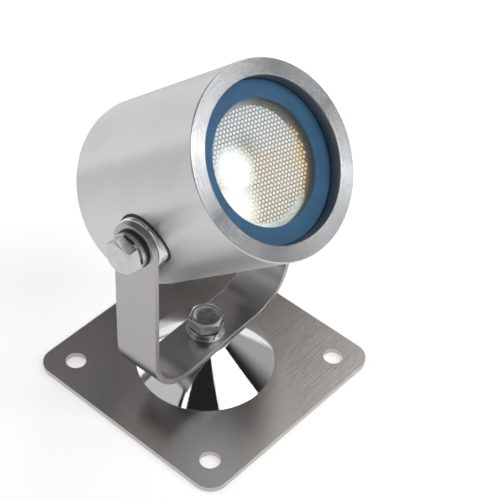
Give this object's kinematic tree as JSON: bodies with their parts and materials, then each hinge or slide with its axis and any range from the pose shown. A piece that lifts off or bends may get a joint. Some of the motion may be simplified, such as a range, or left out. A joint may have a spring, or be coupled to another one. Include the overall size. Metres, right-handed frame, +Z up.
{
  "type": "underwater pond light",
  "caption": "Stainless spotlight head with a recessed lens, held in a U-shaped yoke on a cone and a square base plate; the head tilts and the yoke swivels.",
  "frame": {"origin": "centre of the square base plate, on its underside", "axes": "+Z up from the plate; X and Y along the plate's sides; at rest the beam points to -Y and 40 degrees up, and the yoke is turned 2 degrees about +Z"},
  "size_m": [0.1, 0.1033, 0.1555],
  "materials": {
    "satin_steel": "satin, fine brushed grain",
    "polished_steel": "mirror polished",
    "bolt_steel": "bright, cold-forged",
    "black_rubber": "matt",
    "blue_plastic": "satin",
    "clear_glass": "polished",
    "lens_glass": "pressed all over with small prisms",
    "bright_aluminium": "vapour-coated mirror",
    "green_board": "lacquered",
    "led_domes": "clear domes over coloured chips",
    "white_ceramic": "unglazed",
    "clear_silicone": "translucent",
    "lead_insulation": "silicone",
    "black_plastic": "moulded",
    "brass": "turned",
    "nickel": "nickel plated, satin"
  },
  "bodies": {
    "base": {"base_plate": "satin_steel", "cone_pedestal": "polished_steel", "pedestal_screws": "satin_steel", "yoke_bolt": "bolt_steel", "yoke_spring_washer": "polished_steel", "yoke_flat_washer": "bolt_steel"},
    "yoke": {"yoke": "satin_steel"},
    "head": {"lamp_housing": "satin_steel", "pivot_bosses": "polished_steel", "boss_seals": "black_rubber", "pivot_bolts": "bolt_steel", "pivot_spring_washers": "polished_steel", "pivot_rubber_washers": "black_rubber", "blue_lens_ring": "blue_plastic", "front_glass": "clear_glass", "glass_seal": "black_rubber", "lamp_cover_lens": "lens_glass", "lamp_reflector": "bright_aluminium", "led_board": "green_board", "led_emitters": "led_domes", "lamp_base": "white_ceramic", "lamp_pins": "bolt_steel", "lamp_cushion": "clear_silicone", "lamp_socket": "white_ceramic", "socket_leads": "lead_insulation", "control_board": "green_board", "control_parts": "black_plastic", "board_spacers": "brass", "board_screws": "bolt_steel", "rear_cover": "satin_steel", "rear_seal": "black_rubber", "rear_screws": "bolt_steel", "gland_body": "nickel", "gland_seal": "black_rubber", "gland_lock_nut": "nickel", "gland_insert": "black_rubber", "gland_cap_nut": "nickel"}
  },
  "joints": [
    {"name": "yoke_swivel", "type": "hinge", "parent": "base", "child": "yoke", "pos_m": [0, 0, 0.0183], "axis": [0, 0, 1], "range_deg": [-170, 170]},
    {"name": "head_tilt", "type": "hinge", "parent": "yoke", "child": "head", "pos_m": [0, 0, 0.095], "axis": [0.9994, 0.0349, 0], "range_deg": [-50, 85]}
  ]
}
